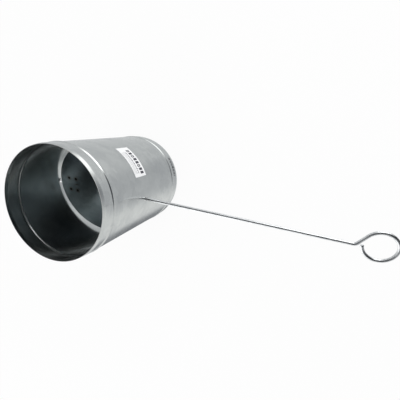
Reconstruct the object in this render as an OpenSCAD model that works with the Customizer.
// Flue pipe damper: a short beaded pipe of zinc coated sheet with a butterfly blade on one bent wire.
// The pipe's axis is Z, its lower rim stands on Z = 0, and the wire that turns the blade runs along X.
// All sizes are in millimetres and all angles in degrees.

/* [Pipe] */
// Outside diameter of the plain wall
pipe_d = 120; // [110:1:150]
// Length from rim to rim
pipe_len = 175; // [160:1:240]
// Thickness of the pipe's sheet
sheet_t = 0.5; // [0.4:0.1:0.8]
// Length of the turned in lip at each rim
lip_len = 4.5; // [3:0.5:6]
// How far each rim is turned in
lip_turn = 0.8; // [0.4:0.1:1.2]

/* [Beads] */
// From each rim to the middle of its bead
bead_from_rim = 17.5; // [14:0.5:24]
// Width of a bead along the pipe
bead_w = 5; // [4:0.5:7]
// How far a bead stands out
bead_h = 0.7; // [0.4:0.1:1.2]

/* [Wire] */
// Diameter of the wire
wire_d = 3.5; // [3:0.1:4.5]
// Height of the wire above the lower rim
wire_z = 92.5; // [80:0.5:110]
// Diameter of the two holes in the wall
wire_hole_d = 5; // [4.6:0.1:6]
// Running gap under the wire where it rests in its holes
wire_seat_gap = 0.05; // [0.03:0.01:0.1]
// How far the plain end stands out of the wall
tail_len = 8; // [5:0.5:15]
// From the wall to the start of the neck bend
reach = 223; // [150:1:260]

/* [Ring] */
// Radius of the ring, to the middle of the wire
ring_r = 15.6; // [12:0.1:20]
// From the start of the neck bend to the ring's centre, along the wire
ring_ahead = 23.8; // [22:0.1:30]
// From the line of the wire to the ring's centre
ring_aside = 2.9; // [0:0.1:4]
// Radius of the neck bend, to the middle of the wire
neck_r = 5; // [4:0.5:6]
// How far the wire goes round the ring
ring_turn = 319; // [290:1:322]

/* [Blade] */
// Gap between the blade and the wall when the damper is shut
blade_gap = 2.5; // [2:0.1:5]
// Thickness of the blade's sheet
blade_t = 0.8; // [0.6:0.1:1.2]
// Tilt of the blade and the ring away from shut
blade_tilt = 14.5; // [0:0.5:30]

/* [Saddles] */
// From the blade's edge to the middle of each saddle
saddle_inset = 17.5; // [15:0.5:25]
// Width of a saddle along the wire
saddle_w = 18; // [16:0.5:20]
// Length of a saddle across the wire
saddle_len = 24; // [22:0.5:28]
// Thickness of the saddle's strap
saddle_t = 0.8; // [0.6:0.1:1]
// Radius inside the strap's bends
saddle_bend_r = 0.6; // [0.4:0.1:0.8]
// Gap between the wire and what holds it
grip_gap = 0.05; // [0.03:0.01:0.1]
// Distance between two weld spots, along the wire
spot_along = 10; // [8:0.5:12]
// Distance between two weld spots, across the wire
spot_across = 15.5; // [14:0.5:17]
// Diameter of a weld spot's dimple
spot_d = 3; // [2:0.1:3.2]
// Depth of a weld spot's dimple
spot_depth = 0.35; // [0.2:0.05:0.4]
// Length of the slot beside the spots, where the wire is tacked to the blade
tack_len = 6; // [4:0.5:7]
// Width of the tack slot
tack_w = 1.3; // [1:0.1:1.6]

/* [Label] */
// Height of the label along the pipe
label_h = 23; // [15:1:30]
// Length of the label round the pipe
label_len = 40; // [25:1:50]
// Thickness of the label with its glue
label_t = 0.15; // [0.1:0.05:0.3]
// Height of the label's middle above the lower rim
label_z = 97; // [80:1:115]
// Angle from the wire's outer side to the label's middle
label_turn = 45; // [35:1:60]

/* [Hidden] */
$fn = 96;

pipe_r = pipe_d / 2;
bore_r = pipe_r - sheet_t;
wall_mid_r = pipe_r - sheet_t / 2;
wire_r = wire_d / 2;
blade_r = bore_r - blade_gap;
// The blade lies on the near side of the wire, and the saddles hold the wire to its back
blade_back = wire_r + grip_gap;
blade_front = blade_back + blade_t;
saddle_x = blade_r - saddle_inset;
// Steps in each arc of the wall's outline
arc_steps = 4;
// Cutting bodies go this far past what they cut
past = 2;
// How much thinner the wire is in its bends, and how far a bend laps into the straight wire beside it
bend_thinning = 0.02;
bend_lap = 0.2;

zinc = [0.72, 0.75, 0.76];
dark_zinc = [0.50, 0.56, 0.58];
drawn_wire = [0.62, 0.63, 0.64];
paper = [0.93, 0.94, 0.95];

// A bead is two arcs up and two arcs down, all of one radius
bead_arc = 2 * atan(2 * bead_h / bead_w);
bead_arc_r = bead_w / 4 / sin(bead_arc);

// Middle line of half a bead, as [radius, height above the bead's middle], from its foot to its crown
function bead_half() = concat(
    [for (i = [0 : arc_steps - 1]) let (a = bead_arc * i / arc_steps)
        [wall_mid_r + bead_arc_r * (1 - cos(a)), -bead_w / 2 + bead_arc_r * sin(a)]],
    [for (i = [0 : arc_steps]) let (a = bead_arc * (1 - i / arc_steps))
        [wall_mid_r + bead_h - bead_arc_r * (1 - cos(a)), -bead_arc_r * sin(a)]]);

function mirrored(points) = [for (i = [len(points) - 1 : -1 : 0]) [points[i].x, -points[i].y]];
function lifted(points, z) = [for (p = points) [p.x, p.y + z]];
function without_first(points) = [for (i = [1 : len(points) - 1]) points[i]];

// Middle line of a whole bead, with its crown at height z
function bead(z) = lifted(concat(bead_half(), without_first(mirrored(bead_half()))), z);

// Middle line of the sheet from the lower rim to the upper one
wall_line = concat(
    [[wall_mid_r - lip_turn, 0], [wall_mid_r, lip_len]],
    bead(bead_from_rim),
    bead(pipe_len - bead_from_rim),
    [[wall_mid_r, pipe_len - lip_len], [wall_mid_r - lip_turn, pipe_len]]);

// One face of the sheet: the middle line moved sideways by d, square to the line, and level at the rims
function direction(a, b) = (b - a) / norm(b - a);
function sheet_face(line, d) = [for (i = [0 : len(line) - 1])
    let (last = len(line) - 1,
         before = direction(line[max(i - 1, 0)], line[max(i, 1)]),
         after = direction(line[min(i, last - 1)], line[min(i + 1, last)]),
         along = direction([0, 0], before + after),
         side = [along.y, -along.x],
         miter = cos(acos(min(1, before * after)) / 2))
    (i == 0 || i == last) ? line[i] + [d, 0] : line[i] + side * d / miter];

module pipe_body() {
    color(zinc)
    difference() {
        rotate_extrude()
            polygon(concat(sheet_face(wall_line, sheet_t / 2),
                           [for (i = [len(wall_line) - 1 : -1 : 0]) sheet_face(wall_line, -sheet_t / 2)[i]]));
        // The wire rests on the lower edge of both holes
        translate([0, 0, wire_z + wire_hole_d / 2 - wire_r - wire_seat_gap])
            rotate([0, 90, 0])
            cylinder(d = wire_hole_d, h = pipe_d + 2 * past, center = true);
    }
}

// Puts what is drawn flat, with the wire's line along X, at the wire's height and the blade's tilt
module on_wire() {
    translate([0, 0, wire_z]) rotate([blade_tilt, 0, 0]) children();
}

module at_each_spot() {
    for (along = [-1, 1], across = [-1, 1])
        translate([along * spot_along / 2, across * spot_across / 2, 0]) children();
}

// A weld spot leaves a shallow round dimple: the cap of a ball whose edge is the dimple's edge
spot_ball_r = (pow(spot_d / 2, 2) + pow(spot_depth, 2)) / (2 * spot_depth);

module spot_dimples() {
    at_each_spot() translate([0, 0, spot_ball_r - spot_depth]) sphere(r = spot_ball_r);
}

module tack_slot() {
    straight = tack_len - tack_w;
    translate([0, 0, -past]) {
        for (end = [-1, 1]) translate([end * straight / 2, 0, 0]) cylinder(d = tack_w, h = 2 * past, $fn = 32);
        translate([-straight / 2, -tack_w / 2, 0]) cube([straight, tack_w, 2 * past]);
    }
}

module damper_blade() {
    color(dark_zinc)
    on_wire()
    difference() {
        translate([0, 0, blade_back]) cylinder(r = blade_r, h = blade_t);
        for (end = [-1, 1]) translate([end * saddle_x, 0, blade_front]) {
            spot_dimples();
            translate([-end * spot_along / 2, 0, 0]) tack_slot();
        }
    }
}

// What a round bend takes from, or adds to, a corner at the origin that points along -X and +Y
module corner(r) {
    difference() {
        translate([0, -r]) square(r);
        translate([r, -r]) circle(r);
    }
}

// Section of a saddle across the wire: two flanges under the blade and an arch round the wire,
// joined by bends that have the strap's thickness all the way
module saddle_section() {
    inner_r = wire_r + grip_gap;
    outer_r = inner_r + saddle_t;
    difference() {
        union() {
            intersection() {
                circle(r = outer_r);
                translate([-outer_r, -outer_r]) square([2 * outer_r, outer_r + blade_back]);
            }
            translate([-outer_r, 0]) square([2 * outer_r, blade_back]);
            translate([-saddle_len / 2, blade_back - saddle_t]) square([saddle_len, saddle_t]);
            for (side = [0, 1]) mirror([side, 0]) translate([outer_r, blade_back - saddle_t]) corner(saddle_bend_r);
        }
        circle(r = inner_r);
        translate([-inner_r, 0]) square([2 * inner_r, blade_back + past]);
        for (side = [0, 1]) mirror([side, 0]) translate([inner_r, blade_back]) corner(saddle_bend_r + saddle_t);
    }
}

module saddle(end) {
    color(dark_zinc)
    on_wire()
        translate([end * saddle_x - saddle_w / 2, 0, 0])
        rotate([90, 0, 90])
        linear_extrude(saddle_w) saddle_section();
}

module saddle_left() { saddle(-1); }
module saddle_right() { saddle(1); }

neck_x = pipe_r + reach;
// The neck's straight stretch touches the neck bend on one side and the ring on the other
neck_to_ring = [ring_ahead, ring_aside - neck_r];
neck_turn = atan2(neck_to_ring.y, neck_to_ring.x) + asin((ring_r + neck_r) / norm(neck_to_ring));
neck_straight = sqrt(pow(norm(neck_to_ring), 2) - pow(ring_r + neck_r, 2));

// A round bar along X, from the origin
module straight_wire(length) {
    rotate([0, 90, 0]) cylinder(d = wire_d, h = length);
}

// A bent bar that starts at the origin along X and turns by an angle to its left, or to its right if negative.
// Bending draws the wire a little thinner, and the bend laps into the full wire before and after it.
module bent_wire(r, turn) {
    lap = bend_lap / r * 180 / PI;
    mirror([0, turn < 0 ? 1 : 0, 0])
        translate([0, r, 0])
        rotate([0, 0, -90 - lap])
        rotate_extrude(angle = abs(turn) + 2 * lap) translate([r, 0]) circle(d = wire_d - bend_thinning);
}

// Moves what follows to the end of a bend
module after_bend(r, turn) {
    side = sign(turn);
    translate([r * sin(abs(turn)), side * r * (1 - cos(turn)), 0]) rotate([0, 0, turn]) children();
}

module rod_handle() {
    tail_x = pipe_r + tail_len;
    color(drawn_wire)
    on_wire() {
        translate([-tail_x, 0, 0]) straight_wire(tail_x + neck_x);
        translate([neck_x, 0, 0]) {
            bent_wire(neck_r, neck_turn);
            after_bend(neck_r, neck_turn) {
                straight_wire(neck_straight);
                translate([neck_straight, 0, 0]) bent_wire(ring_r, -ring_turn);
            }
        }
    }
}

module label() {
    label_arc = label_len / pipe_r * 180 / PI;
    color(paper)
    translate([0, 0, label_z - label_h / 2])
        rotate([0, 0, label_turn - label_arc / 2])
        rotate_extrude(angle = label_arc) translate([pipe_r, 0]) square([label_t, label_h]);
}

pipe_body();
damper_blade();
saddle_left();
saddle_right();
rod_handle();
label();
